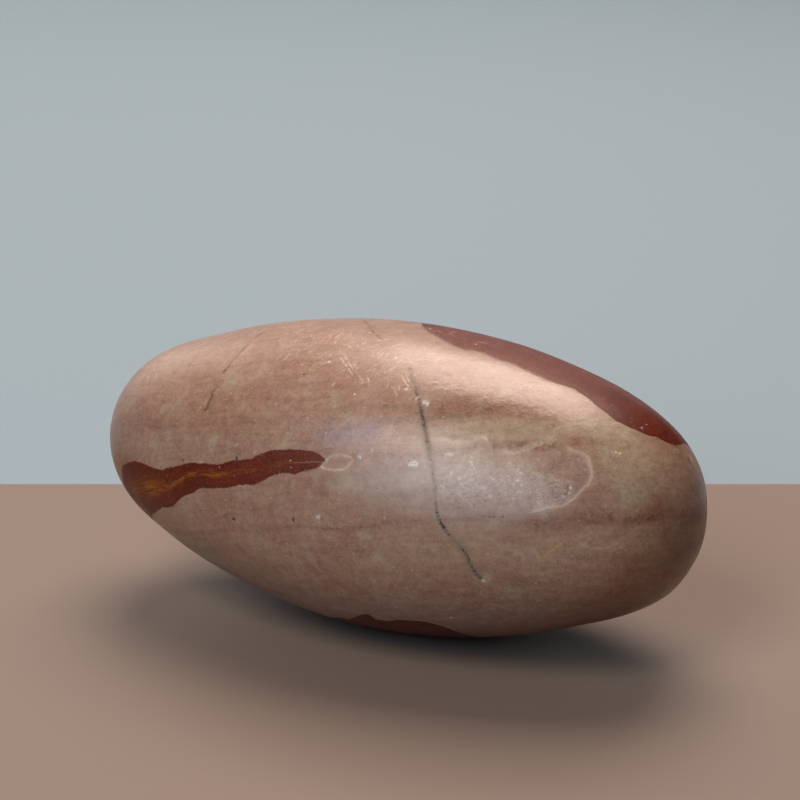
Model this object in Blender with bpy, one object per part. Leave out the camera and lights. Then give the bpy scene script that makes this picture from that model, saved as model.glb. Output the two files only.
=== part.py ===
"""River pebble: one water-worn, hand-polished stone, lying on its side.

Metres, +Z up. The long axis runs along X and the origin is on the ground, under the middle of
the stone's bounding box. The body is one solid: a cube-sphere whose every point is carried onto
the stone by the formula in on_stone, then cut flat where the stone lies.
"""

import math

import bmesh
import bpy
from mathutils import Matrix, Vector, noise

# Driving dimensions, in metres
LENGTH = 0.150
WIDTH = 0.0759
HEIGHT = 0.0716

# The girth against that of a plain ellipsoid, as the factors of t, t^2, t^3 and t^4, where t runs
# from -1 at the narrow end to +1 at the blunt end. The last one makes both ends blunt.
GIRTH = (0.057, -0.267, 0.045, 0.622)

# How far the long axis bows up, in metres, as the factors of 1, t, t^2 and t^3.
BOW = (-0.00060, 0.00091, 0.00159, 0.00118)

# The low swellings and worn flats that a hand can feel: the direction from the middle of a unit
# sphere, the height in metres (below zero for a flat) and the spread in radians.
WORN_PLACES = (
    ((-0.87, 0.00, 0.47), 0.00032, 0.20),  # brow of the narrow end
    ((-0.68, 0.15, 0.72), -0.00034, 0.13),  # dip behind that brow
    ((-0.42, 0.22, 0.88), 0.00018, 0.20),  # back, towards the narrow end
    ((-0.72, -0.45, -0.52), -0.00032, 0.12),  # rubbed flat under the narrow end
    ((0.37, 0.38, 0.85), 0.00020, 0.16),  # back, towards the blunt end
    ((0.80, 0.31, 0.51), -0.00016, 0.12),  # shoulder of the blunt end
    ((0.98, 0.18, 0.05), -0.00030, 0.12),  # flattened tip
    ((0.92, -0.05, -0.40), 0.00044, 0.11),  # heel of the blunt end
    ((0.70, -0.23, -0.68), -0.00036, 0.12),  # hollow behind the heel
    ((0.36, -0.36, -0.86), 0.00022, 0.18),  # belly
)

# The river's unevenness, too low to see except in how the light runs over it.
RIPPLE_LENGTH = 0.030
RIPPLE_HEIGHT = 0.00012

# How the stone lies: its long axis dips a little towards the blunt end, and it rests on a small
# flat, worn or ground on its underside, which is this far above the lowest point it would have.
DIP = math.radians(1.0)
RESTING_FLAT_DEPTH = 0.00020

# Cells along each edge of the end faces of the starting block, which is two cubes long
CELLS = 21

STONE_COLOUR = (0.300, 0.205, 0.160, 1.0)
STONE_ROUGHNESS = 0.42


def clear_scene():
    for obj in list(bpy.data.objects):
        bpy.data.objects.remove(obj, do_unlink=True)


def polynomial(factors, t, first_power=0):
    return sum(f * t ** (k + first_power) for k, f in enumerate(factors))


def unit_sphere_point(block_point):
    """A point of the block, 4 x 2 x 2, carried onto the unit sphere with its cells kept even."""
    x, y, z = block_point
    quarter = math.pi / 4
    spread = Vector((math.tan(x / 2 * quarter), math.tan(y * quarter), math.tan(z * quarter)))
    return spread.normalized()


def wear(direction):
    """Height of the worn places over the smooth stone, in a direction from its middle."""
    height = 0.0
    for centre, peak, spread in WORN_PLACES:
        angle = direction.angle(Vector(centre))
        height += peak * math.exp(-((angle / spread) ** 2))
    return height


def on_stone(direction):
    """The stone's surface, in its own axes, for a direction from the middle of a unit sphere."""
    t = direction.x
    girth = math.sqrt(1 + polynomial(GIRTH, t, first_power=1))
    bow = (1 - t * t) * polynomial(BOW, t)
    smooth = Vector(
        (
            LENGTH / 2 * t,
            WIDTH / 2 * direction.y * girth,
            HEIGHT / 2 * direction.z * girth + bow,
        )
    )
    outwards = Vector(
        (direction.x / LENGTH, direction.y / WIDTH, direction.z / HEIGHT)
    ).normalized()
    ripple = RIPPLE_HEIGHT * noise.noise(smooth / RIPPLE_LENGTH)
    return smooth + outwards * (wear(direction) + ripple)


def stone_body():
    """The whole stone as a bmesh, with its long axis along X."""
    body = bmesh.new()
    bmesh.ops.create_cube(body, size=2.0)
    bmesh.ops.scale(body, vec=(2.0, 1.0, 1.0), verts=body.verts)
    lengthways = [e for e in body.edges if abs(e.verts[0].co.x - e.verts[1].co.x) > 1.0]
    bmesh.ops.subdivide_edges(body, edges=lengthways, cuts=1)
    bmesh.ops.subdivide_edges(body, edges=body.edges[:], cuts=CELLS - 1, use_grid_fill=True)
    for vert in body.verts:
        vert.co = on_stone(unit_sphere_point(vert.co))
    return body


def lay_down(body):
    """Tips the stone as it lies, cuts its resting flat and puts the origin under its middle."""
    bmesh.ops.rotate(body, verts=body.verts, cent=(0, 0, 0), matrix=Matrix.Rotation(DIP, 3, "Y"))
    ground = min(v.co.z for v in body.verts) + RESTING_FLAT_DEPTH
    cut = bmesh.ops.bisect_plane(
        body,
        geom=body.verts[:] + body.edges[:] + body.faces[:],
        plane_co=(0, 0, ground),
        plane_no=(0, 0, 1),
        clear_inner=True,
    )
    rim = [e for e in cut["geom_cut"] if isinstance(e, bmesh.types.BMEdge)]
    bmesh.ops.contextual_create(body, geom=rim)
    bmesh.ops.recalc_face_normals(body, faces=body.faces)

    xs = [v.co.x for v in body.verts]
    ys = [v.co.y for v in body.verts]
    middle = Vector(((min(xs) + max(xs)) / 2, (min(ys) + max(ys)) / 2, ground))
    bmesh.ops.translate(body, verts=body.verts, vec=-middle)


def stone_material():
    material = bpy.data.materials.new("river_stone")
    material.use_nodes = True
    surface = material.node_tree.nodes["Principled BSDF"]
    surface.inputs["Base Color"].default_value = STONE_COLOUR
    surface.inputs["Roughness"].default_value = STONE_ROUGHNESS
    surface.inputs["Metallic"].default_value = 0.0
    return material


def make_pebble():
    collection = bpy.data.collections.new("river_pebble")
    bpy.context.scene.collection.children.link(collection)

    body = stone_body()
    lay_down(body)
    mesh = bpy.data.meshes.new("river_pebble")
    body.to_mesh(mesh)
    body.free()
    mesh.shade_smooth()
    mesh.materials.append(stone_material())

    pebble = bpy.data.objects.new("river_pebble", mesh)
    collection.objects.link(pebble)
    return pebble


clear_scene()
make_pebble()
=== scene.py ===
"""River pebble: a large, water-worn and hand-polished stone of banded jasper, lying on its side."""

import math

import bmesh
import bpy
import numpy as np
from mathutils import Matrix, Vector, kdtree, noise
from mathutils.bvhtree import BVHTree


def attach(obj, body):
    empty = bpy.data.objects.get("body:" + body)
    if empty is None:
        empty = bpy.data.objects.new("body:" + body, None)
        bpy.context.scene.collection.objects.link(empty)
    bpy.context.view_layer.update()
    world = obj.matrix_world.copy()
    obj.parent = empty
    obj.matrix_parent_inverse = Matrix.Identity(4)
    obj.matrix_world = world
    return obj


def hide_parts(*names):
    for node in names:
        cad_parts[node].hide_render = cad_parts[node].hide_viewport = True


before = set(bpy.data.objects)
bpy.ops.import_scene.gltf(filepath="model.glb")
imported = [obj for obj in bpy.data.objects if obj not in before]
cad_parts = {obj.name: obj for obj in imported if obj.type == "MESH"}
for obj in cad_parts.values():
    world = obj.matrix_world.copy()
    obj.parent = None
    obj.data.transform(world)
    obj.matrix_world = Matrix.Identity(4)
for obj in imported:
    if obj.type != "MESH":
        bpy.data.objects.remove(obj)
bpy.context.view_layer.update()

# ---------------------------------------------------------------------------------------------
# Camera. It stands 0.6 m away, in front of the stone and round towards its blunt end, and looks
# down through a long lens. The stone is a little below the middle of the picture.
VIEW_TURN = math.radians(26)
VIEW_DIP = math.radians(19)
VIEW_DISTANCE = 0.600
VIEW_FOCAL_PX = 2563.5
PICTURE_PX = 800
STONE_MIDDLE = Vector((0, 0, 0.0362))
STONE_BELOW_AXIS = 0.01687
STONE_LEFT_OF_AXIS = 0.00043

view_right = Vector((math.cos(VIEW_TURN), math.sin(VIEW_TURN), 0))
view_ahead = Vector(
    (
        -math.sin(VIEW_TURN) * math.cos(VIEW_DIP),
        math.cos(VIEW_TURN) * math.cos(VIEW_DIP),
        -math.sin(VIEW_DIP),
    )
)
view_up = view_right.cross(view_ahead)

camera = bpy.data.objects.new("camera", bpy.data.cameras.new("camera"))
bpy.context.scene.collection.objects.link(camera)
camera.data.sensor_width = 36
camera.data.lens = camera.data.sensor_width * VIEW_FOCAL_PX / PICTURE_PX
camera.data.clip_start = 0.01
turned = Matrix((view_right, view_up, -view_ahead)).transposed().to_4x4()
eye = STONE_MIDDLE - VIEW_DISTANCE * view_ahead
eye += STONE_BELOW_AXIS * view_up + STONE_LEFT_OF_AXIS * view_right
camera.matrix_world = Matrix.Translation(eye) @ turned
bpy.context.scene.camera = camera

# ---------------------------------------------------------------------------------------------
# The stone's body. The river wore it to one smooth form, and it was then polished by hand. It is
# the frame's solid with its triangles paired into quads and subdivided until no facet shows.
FACET_MERGE = 1e-6
PAIRING_ANGLE = math.radians(40)
SMOOTHINGS = 2

rough_form = bmesh.new()
rough_form.from_mesh(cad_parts["river_pebble"].data)
bmesh.ops.remove_doubles(rough_form, verts=rough_form.verts, dist=FACET_MERGE)
bmesh.ops.join_triangles(
    rough_form,
    faces=rough_form.faces,
    angle_face_threshold=PAIRING_ANGLE,
    angle_shape_threshold=PAIRING_ANGLE,
)
rough_mesh = bpy.data.meshes.new("rough_form")
rough_form.to_mesh(rough_mesh)
rough_form.free()
rough_object = bpy.data.objects.new("rough_form", rough_mesh)
bpy.context.scene.collection.objects.link(rough_object)
wear = rough_object.modifiers.new("river_wear", "SUBSURF")
wear.levels = wear.render_levels = SMOOTHINGS
worn = rough_object.evaluated_get(bpy.context.evaluated_depsgraph_get())
form = bmesh.new()
form.from_mesh(bpy.data.meshes.new_from_object(worn))
bpy.data.objects.remove(rough_object)
form.normal_update()

# ---------------------------------------------------------------------------------------------
# Setting out. A place on the stone is a station, in mm along it from its middle, and a bearing,
# in degrees round its long axis: 0 faces the front, 90 the top, 180 the back, -90 the ground.
MM = 0.001
AXIS_HEIGHT = STONE_MIDDLE.z
LINE_STEP = 0.3

bare_stone = BVHTree.FromBMesh(form)


def place(station, bearing):
    """The point of the stone at a place, in mm, and the direction out of the stone there."""
    turn = math.radians(bearing)
    outwards = Vector((0, -math.cos(turn), math.sin(turn)))
    point, normal, *_ = bare_stone.ray_cast(Vector((station * MM, 0, AXIS_HEIGHT)), outwards)
    return point / MM, normal


def trace(places, closed=False):
    """A smooth line through places: its points, in mm, and the direction to its right at each.

    A closed line goes clockwise, as seen from outside, so its inside is on its right.
    """
    knots = [np.array(knot, float) for knot in places]
    if closed:
        knots = [knots[-1], *knots, knots[0], knots[1]]
    else:
        knots = [2 * knots[0] - knots[1], *knots, 2 * knots[-1] - knots[-2]]
    points, normals = [], []
    for a, b, c, d in zip(knots, knots[1:], knots[2:], knots[3:]):
        steps = max(1, round(math.dist(place(*b)[0], place(*c)[0]) / LINE_STEP))
        for t in np.arange(steps) / steps:
            bend = (2 * a - 5 * b + 4 * c - d) * t**2 + (3 * b - a - 3 * c + d) * t**3
            point, normal = place(*(b + ((c - a) * t + bend) / 2))
            points.append(point)
            normals.append(normal)
    points, normals = np.array(points), np.array(normals)
    if closed:
        ahead = np.roll(points, -1, axis=0) - np.roll(points, 1, axis=0)
    else:
        ahead = np.gradient(points, axis=0)
    right = np.cross(ahead, normals)
    return points, right / np.linalg.norm(right, axis=1)[:, None]


# ---------------------------------------------------------------------------------------------
# Healed cracks. Old cracks filled with dark clay, or with paler brown clay, and worn to shallow
# dotted grooves. Each has its half width and depth in mm, and how full it is. The solidity is the
# share of the filling that never breaks into dots.
MAIN_CRACK = (
    (10.6, 63.5), (12.1, 59.6), (13.3, 56.6), (14.6, 53.8), (16, 50.6), (17, 47.9), (17.9, 45.3),
    (19, 42.3), (19.8, 39.8), (20.7, 37), (21.7, 33.9), (22.5, 30.4), (23.4, 27.4), (24.4, 23.3),
    (25.2, 19.2), (25.7, 15.7), (26.1, 12.6), (26.4, 10.5), (27.6, 6.8), (29, 3.8), (30.8, 1),
    (32.8, -3), (33.8, -7), (35, -12), (36, -14),
)
DARK_CRACKS = (
    (MAIN_CRACK, 0.56, 0.08, 1.0),
    (((36.0, 11.3), (37.5, 11.8), (39.0, 12.1), (40.6, 12.2)), 0.52, 0.05, 0.70),
    (((-2, -166), (3, -158), (5.5, -147), (10, -140), (12, -131)), 0.30, 0.08, 0.9),
)
BROWN_CRACKS = (
    (
        ((-33.3, 83), (-33.8, 75), (-34.2, 67), (-35.1, 60.3), (-35.3, 56.5), (-35.8, 52.5)),
        0.50, 0.05, 1.5,
    ),
    (((-35.6, 46), (-36.2, 43.5), (-36, 39.1), (-36.3, 36.2), (-37.2, 33.5)), 0.62, 0.03, 1.4),
    (((-11.7, 99), (-8, 91), (-5.3, 85), (0, 78)), 0.50, 0.06, 1.4),
    (((67.3, 90), (68.2, 96), (68.9, 103)), 0.45, 0.03, 0.9),
    (((43, 13), (46.7, 14), (52, 14)), 0.30, 0.02, 0.60),
    (((-41, 172), (-38, 163), (-37, 150), (-33.5, 141), (-31, 128), (-32, 112)), 0.46, 0.07, 1.4),
)
DARK_SOLIDITY = 0.72
BROWN_SOLIDITY = 0.45

# Where the cracks are most worn, and where they are fullest, with the radius in mm
WORN_CRACKS = (
    (11, 62, 2.6), (13, 57, 1.6), (22.3, 31, 2.6), (23.6, 26.5, 2.6), (24.8, 21.5, 2.4), (25.6, 17, 1.8),
    (30.4, 1.8, 1.8),
)
FULL_CRACKS = ((16.8, 48.5, 2.2), (18.6, 43.5, 2.2), (27.4, 7.5, 1.4), (35.5, -12.5, 1.4))
WORN_LOSS = 0.5
FULL_GAIN = 0.3

crack_lines = [trace(places) for places, *_ in DARK_CRACKS + BROWN_CRACKS]

# ---------------------------------------------------------------------------------------------
# Flaked scar. A shallow flake came off the blunt half before the polishing. Its ledges are worn
# low, and it runs out to nothing on the other sides. Each ledge has the scar on its right.
LEDGE_DEPTH = 0.07
LEDGE_WIDTH = 0.60
LEDGE_FADE = 7.0
LEDGE_TAPER = 2.5
LEDGE_WANDER = 0.16
LIP_WIDTH = 0.60
RIM_SET_IN = 0.15
LEDGES = (
    (
        (19.5, 35.6), (21.7, 36.2), (23.7, 36.9), (25.2, 37.4), (26.8, 37.2), (28.3, 37.4),
        (29.7, 38.4), (30.8, 39.7), (31.7, 40.9), (32.6, 41.3), (33.3, 41.2), (34.1, 39.9), (34.6, 38),
    ),
    (
        (35.5, 37.4), (37.3, 37.9), (39.4, 38.5), (41.1, 40.2), (42.4, 41.8), (43.6, 43.9),
        (44.9, 46.3), (45.9, 48.5), (46.3, 50.9), (46.9, 53), (49, 57), (51.5, 62),
    ),
    (
        (49.3, 48.5), (50.1, 48), (50.8, 47), (52.1, 47), (53.1, 47.3), (54.5, 46.3), (55.3, 43.7),
        (56.2, 40), (56.5, 37.1), (56.5, 33.4), (55.8, 30.5), (55, 27.7), (54.3, 24.9), (53.4, 22.7),
        (52.6, 20.6), (51.3, 19.7), (49.9, 18.8), (48.5, 17.9), (47.6, 16.8), (45, 15),
    ),
)

ledge_lines = [trace(places) for places in LEDGES]

# Leaf scar. A smaller chip of the same kind lies at the tip of the front vein, with a pale rim.
LEAF_DEPTH = 0.07
LEAF_WIDTH = 0.5
LEAF_REACH = 4.0
LEAF_RISE = 1.8
LEAF_RIM_WIDTH = 0.42
LEAF = (
    (-1, 22.1), (-0.7, 23.5), (0.8, 24.9), (2.7, 25.7), (4.7, 25.5), (5.6, 24.4), (5.3, 22.9),
    (4.1, 20.9), (2.1, 19.7), (-0.2, 19.5), (-1.7, 19.9), (-1.6, 21),
)

leaf_line = trace(LEAF, closed=True)

# ---------------------------------------------------------------------------------------------
# Scratches and knocks. Handling has left short pale strokes, mostly on the upper side, and small
# pits that hold dark, white or rusty dirt. Three grains stand a little proud at the cap's tip.
STROKE_HALF_WIDTH = 0.16
STROKE_DEPTH = 0.035
STROKES = (
    # on the front and the top
    ((-13.3, 74), (-13.7, 79), (-13.2, 83), (-12, 84)), ((-11, 71), (-11, 78)), ((-10.3, 63), (-9.5, 66)),
    ((-7.7, 65), (-4.5, 60.5), (-1.5, 56)), ((-7.0, 66.5), (-1.3, 57.5)), ((-1.2, 58), (2.2, 53)),
    ((2.2, 56), (3.3, 54)), ((-5.1, 50), (-4.9, 52.2)), ((9.6, 60), (13.8, 53)), ((10.4, 60), (14, 55)),
    ((13.8, 50.3), (15.2, 51.2), (16.6, 53.0)), ((15.3, 50.2), (15.9, 52.2)),
    ((11.3, 56.7), (13.5, 53.8)), ((9.4, 53), (11.3, 50)), ((-4.4, 72.5), (-3.6, 75.5)),
    ((0.9, 66.5), (1.4, 71)), ((2, 66.5), (2.3, 71)), ((3.1, 67), (3.5, 71)),
    ((-54.1, 23), (-53, 20.5), (-52.1, 18)), ((-17.9, 76), (-16.9, 81)), ((-14.9, 71), (-14.5, 77)),
    ((-12, 76), (-11.6, 80)), ((-9.6, 76), (-9.2, 81)),
    ((-7.3, 72), (-5.2, 69)), ((-3.3, 62), (-1, 59)), ((-20.9, 61), (-20.1, 65)), ((1.9, 61), (2.9, 64)),
    ((6.1, 61), (7.3, 64)), ((10, 55), (11.8, 52)), ((-29.2, 87), (-28, 91)), ((-23.1, 82), (-21.5, 86)),
    ((2.6, 74), (5, 78)), ((-1.5, 77), (1.2, 80)), ((5.5, 67), (7, 70)), ((16, 59), (18.6, 61)),
    # along the cap's edge
    ((19.1, 94.3), (21.3, 95.3)), ((21.9, 96.5), (24.3, 94.4)), ((5.6, 97.6), (6.6, 96)),
    ((11, 101), (12.2, 99.6)),
    # round the back
    ((-20, 141), (-17, 147)), ((-22, 139), (-20.5, 144)), ((4, 120), (7.5, 126)), ((21, 171), (25, 168)),
    ((-48, 150), (-46, 157)), ((-9, 165), (-5, 166)), ((33, -160), (34.5, -152)), ((-30, -150), (-26, -153)),
)
VEIN_TIP_STROKE = ((-8.7, 19.9), (-5.9, 20.6), (-3.4, 21.5), (-1.2, 21.7))
YELLOW_STROKE = ((48.7, -4), (50.3, -1), (52.9, 3.6))
CRESCENTS = (
    ((37, -27), (38.9, -28.8), (41.6, -28)),
    ((57, 3), (60.5, 1), (63.6, 4)),
)

stroke_lines = [trace(places) for places in STROKES]
vein_tip_line = trace(VEIN_TIP_STROKE)
yellow_line = trace(YELLOW_STROKE)
crescent_lines = [trace(places) for places in CRESCENTS]

# Each knock: station, bearing, radius and depth in mm; a depth below zero stands proud.
DARK_KNOCKS = (
    (-13.6, 54, 0.38, 0.12), (-24.5, -6, 0.55, 0.16), (-7.6, 0, 0.50, 0.16), (-24.3, 17.5, 0.55, 0.10),
    (-40.3, 12, 0.34, 0.05), (12.1, 16, 0.20, 0.04),
    (26.4, 10.6, 0.42, 0.10), (28.1, 5.8, 0.50, 0.12), (-14.5, 22, 0.3, 0.04),
    (-50, 160, 0.45, 0.12), (18, 178, 0.5, 0.14), (-12, -140, 0.45, 0.12), (49, -172, 0.4, 0.1),
)
WHITE_KNOCKS = (
    (-9.0, 61.3, 0.50, 0.08), (1, 48, 0.38, 0.05), (-2.5, 32, 0.28, 0.03), (-28.9, 13, 0.22, 0.03),
    (-9.8, 20.4, 0.26, 0.03), (-9.4, 18.0, 0.18, 0.02), (18.8, 26.2, 0.75, 0.03), (19.9, 26.9, 0.75, 0.03),
    (17.6, 50.2, 0.75, 0.03), (18.4, 49.4, 0.5, 0.03), (42.2, 27.5, 0.50, 0.05), (43, 26, 0.35, 0.05),
    (53, 29, 0.40, 0.03), (61.4, 81, 0.28, 0.04), (61.6, 87, 0.25, 0.04), (70.1, 109, 0.95, 0.02),
    (68.8, 91, 0.5, 0.02), (6.2, 97, 0.40, 0.05), (11.4, 99, 0.35, 0.05), (19.4, 91, 0.45, 0.05),
    (26.8, -36.5, 0.50, 0.12), (5.8, 68.5, 0.35, 0.05), (12.2, 54.2, 0.55, 0.08), (7, 25.5, 0.45, 0.02),
    (-1.2, 2.8, 0.60, 0.05), (-30, 170, 0.4, 0.06), (14, 150, 0.35, 0.05), (40, -160, 0.45, 0.06),
)
RUSTY_KNOCKS = (
    (-5.1, 83, 0.40, 0.05), (59.4, 54.3, 0.34, 0.06), (60.2, 54.6, 0.38, 0.06),
    (36.4, -15, 0.50, 0.05), (-14.4, 83, 0.32, 0.04), (-6, 152, 0.4, 0.05),
)
PROUD_GRAINS = ((68.5, 92, 0.9, -0.26), (69.9, 105, 1.0, -0.30), (67.6, 98, 0.6, -0.10))
OTHER_PITS = (
    (71.5, 7, 0.8, 0.16), (72.1, 2.5, 0.6, 0.12), (-7.6, 9, 0.9, 0.06), (41.5, 18, 0.6, 0.06),
    (-46, -20, 0.4, 0.06), (5, 58, 0.35, 0.06),
)

# ---------------------------------------------------------------------------------------------
# Skin. The faces by a crack, ledge, stroke or knock are quartered twice, so that it can be cut
# into them.
FINE_REACHES = (1.2, 0.65)

knocks = DARK_KNOCKS + WHITE_KNOCKS + RUSTY_KNOCKS + PROUD_GRAINS + OTHER_PITS
thin_marks = [vein_tip_line, yellow_line, *crescent_lines]
fine_lines = [*crack_lines, *ledge_lines, leaf_line, *stroke_lines, *thin_marks]
fine_points = [Vector(point) for points, _ in fine_lines for point in points]
fine_points += [place(station, bearing)[0] for station, bearing, *_ in knocks]
fine_tree = kdtree.KDTree(len(fine_points))
for number, point in enumerate(fine_points):
    fine_tree.insert(point, number)
fine_tree.balance()
for reach in FINE_REACHES:
    near = {vert for vert in form.verts if fine_tree.find(vert.co / MM)[2] < reach}
    edges = [edge for edge in form.edges if edge.verts[0] in near and edge.verts[1] in near]
    bmesh.ops.subdivide_edges(form, edges=edges, cuts=1, smooth=1.0, use_grid_fill=True)
    form.normal_update()

skin = np.array([vert.co for vert in form.verts]) / MM
outward = np.array([vert.normal for vert in form.verts])

# ---------------------------------------------------------------------------------------------
# Relief. All of it is shallow: cracks and knocks of a tenth of a millimetre in a skin that is
# nowhere quite even. Each roll of the skin has its length and height in mm.
ROLLS = ((9.0, 0.020), (4.0, 0.008), (2.0, 0.0035))
PIT_SHARPNESS = 1.2
FLAT_BLEND = 1.5
MEASURED_AT_ONCE = 1000


def measure(line, reach):
    """For every point of the skin: its distance from a line, how far it is to the right of it, and
    how far along it is, in mm. A point beyond the reach is that far away, to the left."""
    points, right = line
    apart, aside, along = np.full(len(skin), reach), np.full(len(skin), -reach), np.zeros(len(skin))
    run = np.concatenate(([0], np.cumsum(np.linalg.norm(np.diff(points, axis=0), axis=1))))
    beyond = (skin < points.min(0) - reach) | (skin > points.max(0) + reach)
    near = np.flatnonzero(~beyond.any(axis=1))
    for some in np.array_split(near, len(near) // MEASURED_AT_ONCE + 1):
        gaps = skin[some, None] - points[None]
        squares = (gaps**2).sum(axis=2)
        nearest = squares.argmin(axis=1)
        gap = gaps[np.arange(len(some)), nearest]
        apart[some] = np.minimum(np.sqrt(squares.min(axis=1)), reach)
        aside[some] = np.copysign(apart[some], (gap * right[nearest]).sum(axis=1))
        along[some] = run[nearest]
    return apart, aside, along


def eased(values):
    """Values rising smoothly from 0 to 1 between 0 and 1."""
    t = np.clip(values, 0, 1)
    return t * t * (3 - 2 * t)


def patchiness(size, seed):
    """Soft random patches over the skin, of a size in mm, from about -1 to 1."""
    shift = Vector((seed, 0, 0))
    return 1.6 * np.array([noise.noise(Vector(point) / size + shift) for point in skin])


def spot(station, bearing, radius):
    """1 at a place, falling softly to 0 about two radii away, in mm."""
    centre = np.array(place(station, bearing)[0])
    return np.exp(-((skin - centre) ** 2).sum(axis=1) / radius**2)


def spots(places):
    return np.clip(sum(spot(*entry[:3]) for entry in places), 0, 1)


def thread(lines, half_width):
    """1 along lines, falling softly to 0 at about two half widths."""
    return max_of([np.exp(-((measure(line, 4 * half_width)[0] / half_width) ** 2)) for line in lines])


def max_of(fields):
    return np.max(fields, axis=0)


relief = sum(depth * patchiness(size, seed) for seed, (size, depth) in enumerate(ROLLS))

breaks = eased(patchiness(2.3, 11) + 0.6) * eased(patchiness(0.9, 12) * 1.3 + 0.55)
fill = 1 - WORN_LOSS * spots(WORN_CRACKS) + FULL_GAIN * spots(FULL_CRACKS)
dark_clay, brown_clay = np.zeros(len(skin)), np.zeros(len(skin))
for number, (line, crack) in enumerate(zip(crack_lines, DARK_CRACKS + BROWN_CRACKS)):
    _, half_width, depth, fullness = crack
    is_dark = number < len(DARK_CRACKS)
    solid = DARK_SOLIDITY if is_dark else BROWN_SOLIDITY
    groove = thread([line], half_width) * (solid + (1 - solid) * breaks) * fill
    relief -= depth * groove
    clay = dark_clay if is_dark else brown_clay
    np.maximum(clay, fullness * groove, out=clay)

ledge_lip = np.zeros(len(skin))
scar = np.zeros(len(skin))
for line in ledge_lines:
    aside, along = measure(line, LEDGE_FADE)[1:]
    aside = aside + LEDGE_WANDER * (patchiness(1.5, 21) + 0.5 * patchiness(0.6, 22))
    taper = eased(along / LEDGE_TAPER) * eased((along.max() - along) / LEDGE_TAPER)
    inside = eased(aside / LEDGE_WIDTH + 0.5) * eased(1 - aside / LEDGE_FADE) * taper
    relief -= LEDGE_DEPTH * inside
    scar = np.maximum(scar, inside)
    lip = np.exp(-(((aside - RIM_SET_IN) / LIP_WIDTH) ** 2)) * (0.80 + 0.35 * patchiness(2.2, 23))
    ledge_lip = np.maximum(ledge_lip, lip * taper)

aside = measure(leaf_line, LEAF_REACH)[1]
leaf_inside = eased(aside / LEAF_WIDTH + 0.5)
relief -= LEAF_DEPTH * leaf_inside * (1 - 0.6 * eased(aside / LEAF_RISE))
leaf_rim = np.exp(-(((aside - RIM_SET_IN) / LEAF_RIM_WIDTH) ** 2))
leaf_rim *= 0.75 + 0.25 * eased(patchiness(3.0, 5) + 0.5)
scar = np.maximum(scar, leaf_inside)

strokes = np.zeros(len(skin))
for number, line in enumerate(stroke_lines):
    apart, _, along = measure(line, 4 * STROKE_HALF_WIDTH)
    half_width = STROKE_HALF_WIDTH * (0.7 + 0.5 * (number * 0.618 % 1))
    run = (along + LINE_STEP) / (along.max() + 2 * LINE_STEP)
    taper = np.sqrt(np.clip(np.sin(math.pi * run), 0, 1))
    strokes = np.maximum(strokes, np.exp(-((apart / half_width) ** 2)) * taper)
strokes *= eased(patchiness(0.9, 17) * 1.4 + 0.9)
relief -= STROKE_DEPTH * strokes
relief -= STROKE_DEPTH * thread(thin_marks, STROKE_HALF_WIDTH)
for station, bearing, radius, depth in knocks:
    relief -= depth * spot(station, bearing, radius) ** PIT_SHARPNESS

# The flat it rests on is ground even
relief *= eased(skin[:, 2] / FLAT_BLEND)

# ---------------------------------------------------------------------------------------------
# Jasper. Iron turned these patches dark brick red: a vein that runs into the narrow end, a cap on
# the back of the blunt half, a patch on the belly and a thin vein behind. All are clockwise.
FRONT_VEIN = (
    (-63.6, -15.5), (-63.3, -9.3), (-62.3, -3.7), (-59.9, 0.8), (-56.9, 3.7), (-54.6, 4.6),
    (-52.4, 4.8), (-49.5, 4.7), (-47.4, 4.9), (-45.4, 6.6), (-43.1, 8.3), (-40.9, 9.6),
    (-39, 11.2), (-37.2, 12.2), (-35, 12.5), (-32.9, 13.2), (-31.1, 13.5), (-29, 14),
    (-27.3, 15.2), (-25.7, 16.4), (-24, 17.2), (-22.1, 17.8), (-20.2, 18.5), (-19, 20),
    (-16.9, 21.5), (-15.3, 22.8), (-13.4, 23.4), (-11.4, 23.9), (-9.6, 24.4), (-7.8, 24.7),
    (-5.7, 24.6), (-3.9, 24.4), (-2.3, 23.9), (-1.3, 23), (-1, 22), (-1.5, 21.2), (-2.2, 20.1),
    (-3.6, 19), (-5.3, 17.9), (-7, 16.9), (-8.4, 15.8), (-10, 15.9), (-11.8, 15.2), (-13.9, 14.1),
    (-15.6, 12.2), (-17.2, 10.7), (-19, 9.4), (-21.3, 8.7), (-23.2, 7.7), (-25.2, 6.5),
    (-27.6, 5.1), (-29.7, 4.3), (-31.8, 3.5), (-34.3, 2.4), (-35.6, 1), (-36.9, -0.9),
    (-39.6, -3.7), (-41.7, -6.9), (-43.4, -10.5), (-45.7, -13.4), (-48, -15.5), (-50, -19.5),
    (-52.3, -24.6), (-54.2, -30.3), (-55.5, -38), (-57, -50), (-60, -66), (-63.4, -62),
    (-64.4, -48), (-64.8, -33), (-64.4, -23),
)
CAP = (
    (67.6, 118), (67.9, 106.4), (67.6, 94.9), (66.4, 87.6), (64.8, 84), (63.4, 79.2), (61.4, 76.1),
    (59.1, 74.4), (56.8, 73.8), (54.6, 75.2), (51.8, 77.1), (49.2, 79.9), (47.1, 81), (45.2, 82.2),
    (42.3, 81.2), (39.4, 80.6), (36, 81.6), (32.8, 82.2), (30.3, 83.3), (26.8, 83), (23.8, 84.1),
    (20.9, 84.6), (19, 83), (16.1, 83.9), (12.5, 86.5), (8.9, 90), (5.6, 94.4), (3.2, 100),
    (1, 107), (-1, 113), (-0.5, 121), (2, 128), (7, 133), (12, 140), (17, 143), (25, 148),
    (30, 153), (35, 155), (40, 159), (45, 160), (50, 158.5), (55, 158), (60, 153), (63, 150),
    (66, 142), (67, 135), (68.2, 126),
)
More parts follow.
